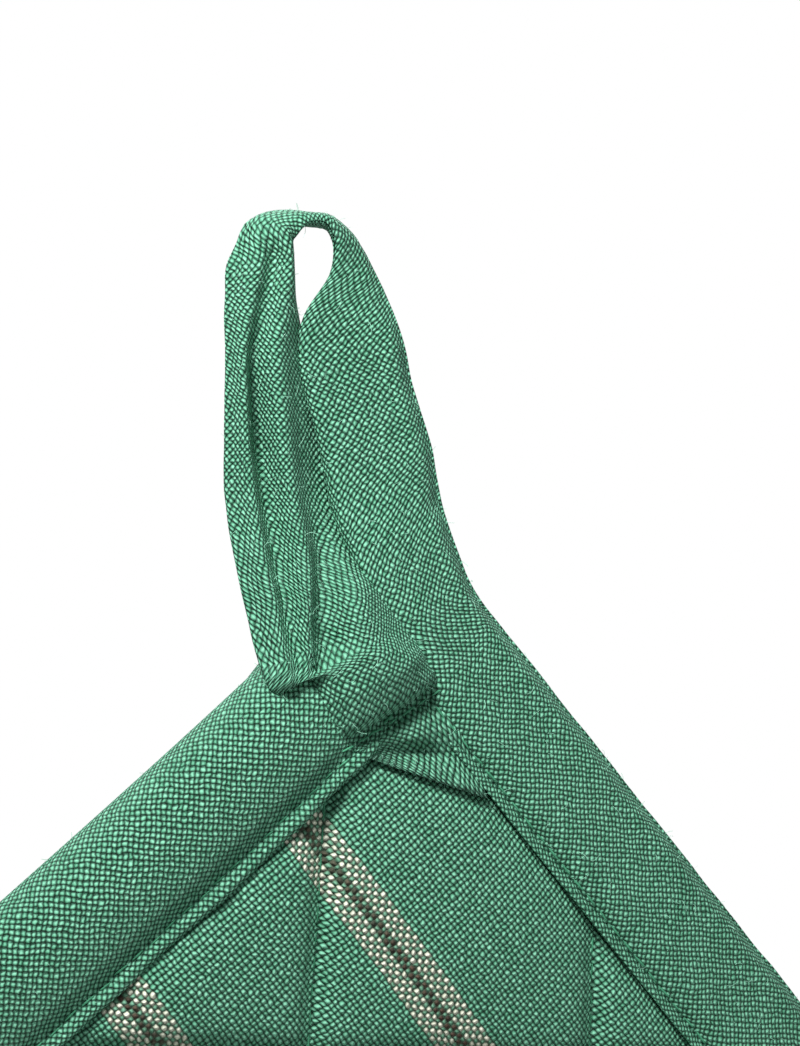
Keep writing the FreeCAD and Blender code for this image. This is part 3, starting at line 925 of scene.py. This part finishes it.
# loose fibres, each a bent three-sided tube
def makeFuzzTree():
    rows = [("Density", "Float", 100000.0), ("Length", "Float", 0.0015), ("Radius", "Float", 0.00002)]
    w, given = startTree("scatterFuzz", rows)
    spread = w.node(
        "GeometryNodeDistributePointsOnFaces",
        {"Mesh": given["Geometry"], "Density": given["Density"], "Seed": given["Seed"]},
    ).outputs
    bent = {"Resolution": 5, "Start": (0, 0, -0.05), "Middle": (0.1, 0.1, 0.5), "End": (0.75, 0.3, 0.45)}
    fibre = w.value("GeometryNodeCurveQuadraticBezier", bent)
    radius = w.calc("DIVIDE", given["Radius"], given["Length"])
    ring = w.value("GeometryNodeCurvePrimitiveCircle", {"Resolution": 3, "Radius": radius})
    tube = w.value("GeometryNodeCurveToMesh", {"Curve": fibre, "Profile Curve": ring, "Fill Caps": True})
    turned = randomTurn(w, given, spread["Rotation"], (-0.9, -0.9, -3.1), (0.9, 0.9, 3.1))
    scale = w.times(randomShare(w, given, 0.35, 1.3), given["Length"])
    return endTree(w, given, spread["Points"], tube, turned, scale, False)


stitchTree = makeStitchTree()
fuzzTree = makeFuzzTree()


def threadMaterial(name, colour, roughness):
    material, w, surface = startMaterial(name)
    place = w.node("ShaderNodeTexCoord").outputs["Object"]
    tone = w.value("ShaderNodeTexNoise", {"Vector": place, "Scale": 1800.0, "Detail": 2.0})
    pale = tuple(min(1.0, c * 1.7 + 0.03) for c in colour[:3]) + (1,)
    w.put(surface.inputs["Base Color"], w.mixColour(tone, colour, pale))
    surface.inputs["Roughness"].default_value = roughness
    surface.inputs["Specular IOR Level"].default_value = 0.3
    twist = w.value("ShaderNodeBump", {"Strength": 0.5, "Distance": 0.0001, "Height": tone})
    w.put(surface.inputs["Normal"], twist)
    return material


threadGreen = threadMaterial("stitchThread", (0.035, 0.2, 0.105, 1), 0.7)
fuzzGreen = threadMaterial("fuzzFibre", (0.24, 0.50, 0.37, 1), 0.8)


# runs one node tree over a mesh and keeps only the plain mesh it makes
def bake(name, mesh, tree, values):
    holder = bpy.data.objects.new(name + "Source", mesh)
    bpy.context.scene.collection.objects.link(holder)
    modifier = holder.modifiers.new("make", "NODES")
    modifier.node_group = tree
    ids = {item.name: item.identifier for item in tree.interface.items_tree if item.in_out == "INPUT"}
    for key, value in values.items():
        modifier[ids[key]] = value
    bpy.context.view_layer.update()
    graph = bpy.context.evaluated_depsgraph_get()
    made = bpy.data.meshes.new_from_object(holder.evaluated_get(graph), depsgraph=graph)
    made.name = name
    bpy.data.objects.remove(holder)
    thing = bpy.data.objects.new(name, made)
    bpy.context.scene.collection.objects.link(thing)
    return thing


def layStitches(name, places, along, up, length):
    mesh = bpy.data.meshes.new(name + "Points")
    mesh.from_pydata([tuple(p) for p in places], [], [])
    for key, values in (("stitchAlong", along), ("stitchUp", up)):
        layer = mesh.attributes.new(key, "FLOAT_VECTOR", "POINT")
        layer.data.foreach_set("vector", np.asarray(values, np.float32).ravel())
    return bake(name, mesh, stitchTree, {
        "Length": length * mm,
        "Thickness": stitching["thread"] * mm,
        "Jitter": 0.1,
        "Seed": stitching["seed"],
        "Material": threadGreen,
    })


# the direction out of the mitt on that side, for each place
def outward(side, places):
    return np.repeat([[0.0, float(side), 0.0]], len(places), axis=0)


# stitch places on a panel: along a run of pattern points, with the height of the quilted face under them
def onPanel(points, side, extra=0.05):
    d = fromSeam(points[:, 0], points[:, 1])
    top = panelTop(points[:, 0], points[:, 1], d)
    return hang(points[:, 0], points[:, 1], side * (top + extra))


def quiltPlaces():
    s = puff["quiltSpacing"]
    step = stitching["quiltEvery"]
    found = []
    for k in range(-8, 12):
        t = np.arange(-120, 130) * step
        for own, across, way in (("riseStart", "fallStart", -1), ("fallStart", "riseStart", 1)):
            level = puff[own] + k * s + 0 * t
            other = t + puff[across] + step / 2
            rise, fall = (level, other) if way < 0 else (other, level)
            points = np.stack([(rise + fall) / rootTwo, (rise - fall) / rootTwo], axis=1)
            keep = insidePolygon(points, regions["whole"], 13.9) & (points[:, 1] > 15.2)
            run = np.array([1, way]) / rootTwo
            found += [np.concatenate([p, run]) for p in points[keep]]
    return np.array(found)


regions["whole"] = roundedOutline(0.0, 1.5, 0.4)
quilt = quiltPlaces()
inThumb = insidePolygon(quilt[:, :2], regions["thumb"], 0.3)
stitches = {}
for side, face in ((-1, "front"), (1, "back")):
    for part, keep in (("palm", ~inThumb), ("thumb", inThumb)):
        points, run = quilt[keep, :2], quilt[keep, 2:]
        places = onPanel(points, side)
        ahead = onPanel(points + run * 0.8, side) - onPanel(points - run * 0.8, side)
        up = outward(side, places)
        made = layStitches(f"{face}Quilting_{part}", places, ahead, up, stitching["quiltLength"])
        stitches[(face, part)] = made
print("quilting sewn")

cuffU = np.arange(9.0, 146.0, stitching["seamEvery"])
for side, face in ((-1, "front"), (1, "back")):
    half = restingHalf(np.minimum(cuffU, pattern["cuff"] - cuffU))
    v = 12.8 + 0.12 * np.sin(cuffU * 1.7)
    places = hang(cuffU, v, side * (half + 0.14))
    along = np.repeat([alongCuff], len(cuffU), axis=0) + 0.08 * throughMitt
    made = layStitches(f"{face}CuffStitches", places, along, outward(side, places), stitching["seamLength"])
    stitches[(face, "cuff")] = made

seamPath = resampled(roundedOutline(13.2, 1.5, 17.0), stitching["seamEvery"])
run = np.gradient(seamPath, axis=0)
crotchPlace = np.array([pattern["fingerSide"] - 2, pattern["crotch"]])
crotchAt = int(np.argmin(np.linalg.norm(seamPath - crotchPlace, axis=1)))
isThumb = (np.arange(len(seamPath)) > crotchAt) & ((seamPath.sum(1)) / rootTwo > splitRise)
for part, keep in (("palm", ~isThumb), ("thumb", isThumb)):
    p, r = seamPath[keep], run[keep]
    both = []
    for side in (-1, 1):
        places = hang(p[:, 0], p[:, 1], side * stitching["sideHeight"])
        along = hang(r[:, 0], r[:, 1], 0.0) - corner * mm
        both.append((places, along, outward(side, places)))
    joined = [np.concatenate(x) for x in zip(*both)]
    stitches[("side", part)] = layStitches(f"sideStitches_{part}", *joined, stitching["seamLength"])

tailLine = np.array([[25.0, 11.9], [18.5, 13.4], [12.0, 14.7]])
tailPoints = resampled(tailLine, 2.4)
tailPlaces = hang(tailPoints[:, 0], tailPoints[:, 1], -np.linspace(10.4, 7.0, len(tailPoints)))
tailAlong = np.gradient(tailPlaces, axis=0)
stitches[("tail", "tail")] = layStitches(
    "tailStitches", tailPlaces, tailAlong, outward(-1, tailPlaces), stitching["tailLength"]
)
print("seams sewn")

# loose fibres that stand on the tapes
fuzz = {"density": 100000.0, "length": 1.3, "radius": 0.024, "seed": 11}


def addFuzz(name, thing, density):
    return bake(name, thing.data.copy(), fuzzTree, {
        "Density": density,
        "Length": fuzz["length"] * mm,
        "Radius": fuzz["radius"] * mm,
        "Seed": fuzz["seed"],
        "Material": fuzzGreen,
    })


loopFuzz = addFuzz("loopFuzz", tapes["loop"][0], fuzz["density"])
cuffFuzz = {face: addFuzz(f"{face}CuffFuzz", cuffs[face], fuzz["density"] * 0.8) for face in cuffs}
print("fuzz made")


def moveFingers(piece):
    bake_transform(piece)


def moveThumb(piece):
    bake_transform(piece)


partsMoved = (("palm", moveFingers, ("hand", "fingers")), ("thumb", moveThumb, ("thumb",)))
for face in ("front", "back"):
    for part, move, bodies in partsMoved:
        panel, lining, sewn = panels[(face, part)], panels[(face + "Lining", part)], stitches[(face, part)]
        size = np.ptp(regions[part], axis=0) * mm
        for piece in (panel, lining, sewn):
            move(piece)
        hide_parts(*[f"{face}_shell_{b}" for b in bodies], *[f"{face}_batting_{b}" for b in bodies])
        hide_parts(*[f"{face}_lining_{b}" for b in bodies])
        flat = (float(size[0]), float(size[1]))
        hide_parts(*[f"{face}_quilting_{b}" for b in bodies])
    for piece in (cuffs[face], stitches[(face, "cuff")], cuffFuzz[face]):
        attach(piece, "hand")
    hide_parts(f"{face}_cuff_binding")
    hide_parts(f"{face}_cuff_stitches")

loopPiece = tapes["loop"][0]
for piece in (loopPiece, loopFuzz):
    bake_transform(piece)
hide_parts("loop_tape", "loop_tail")
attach(tapes["base"][0], "hand")
moveFingers(tapes["fingers"][0])
moveThumb(tapes["thumb"][0])
for key, body in (("base", "hand"), ("fingers", "fingers"), ("thumb", "thumb")):
    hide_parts(f"side_binding_{body}")
for part, move, bodies in partsMoved:
    move(stitches[("side", part)])
    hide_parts(*[f"side_stitches_{b}" for b in bodies])
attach(stitches[("tail", "tail")], "hand")
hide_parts("tail_stitches")
print("pieces placed")

# studio: a round pale floor, white surroundings, a soft key from the upper left and a weaker fill
studio = {
    "floorRadius": 1.2,
    "floorHeight": -0.44,
    "around": 0.2,
    "target": (0.0112, 0.0, -0.0355),
    "cameraTurn": 15.0,
    "cameraDistance": 0.32,
    "lens": 90.3,
    "key": ((-0.12, -0.17, 0.17), 0.08, 1.55),
    "fill": ((0.75, -0.65, 0.0), 0.8, 1.4),
    "back": ((0.25, 0.9, 0.55), 0.8, 9.0),
    "floorColour": (0.86, 0.86, 0.85, 1),
    "lightColour": (0.95, 0.98, 1.0, 1),
}
bpy.ops.mesh.primitive_cylinder_add(vertices=96, radius=studio["floorRadius"], depth=0.02)
floor = bpy.context.object
floor.name = "studioFloor"
floor.location = (0, 0, studio["floorHeight"] - 0.01)
floorPaint, _, paint = startMaterial("floorPaint")
paint.inputs["Base Color"].default_value = studio["floorColour"]
paint.inputs["Roughness"].default_value = 0.7
floor.data.materials.append(floorPaint)

scene = bpy.context.scene
world = bpy.data.worlds.new("studio")
world.use_nodes = True
scene.world = world
w = Wires(world.node_tree)
light = world.node_tree.nodes["Background"]
light.inputs["Color"].default_value = studio["lightColour"]
light.inputs["Strength"].default_value = studio["around"]
seen = w.value("ShaderNodeBackground", {"Color": (1, 1, 1, 1), "Strength": 1.0})
isCamera = w.node("ShaderNodeLightPath").outputs["Is Camera Ray"]
mixed = w.value("ShaderNodeMixShader", {0: isCamera, 1: light.outputs[0], 2: seen})
w.put(world.node_tree.nodes["World Output"].inputs["Surface"], mixed)

target = Vector(studio["target"])
for name in ("key", "fill", "back"):
    place, size, power = studio[name]
    lamp = bpy.data.lights.new(name, "AREA")
    lamp.size = size
    lamp.energy = power
    thing = bpy.data.objects.new(name, lamp)
    thing.location = place
    thing.rotation_euler = (target - Vector(place)).to_track_quat("-Z", "Y").to_euler()
    scene.collection.objects.link(thing)

angle = math.radians(studio["cameraTurn"])
looking = Vector((math.sin(angle), math.cos(angle), 0))
camera = bpy.data.cameras.new("camera")
camera.lens = studio["lens"]
camera.clip_start = 0.01
eye = bpy.data.objects.new("camera", camera)
eye.location = target - looking * studio["cameraDistance"]
eye.rotation_euler = looking.to_track_quat("-Z", "Y").to_euler()
scene.collection.objects.link(eye)
scene.camera = eye
scene.view_settings.view_transform = "Standard"
print("studio set")
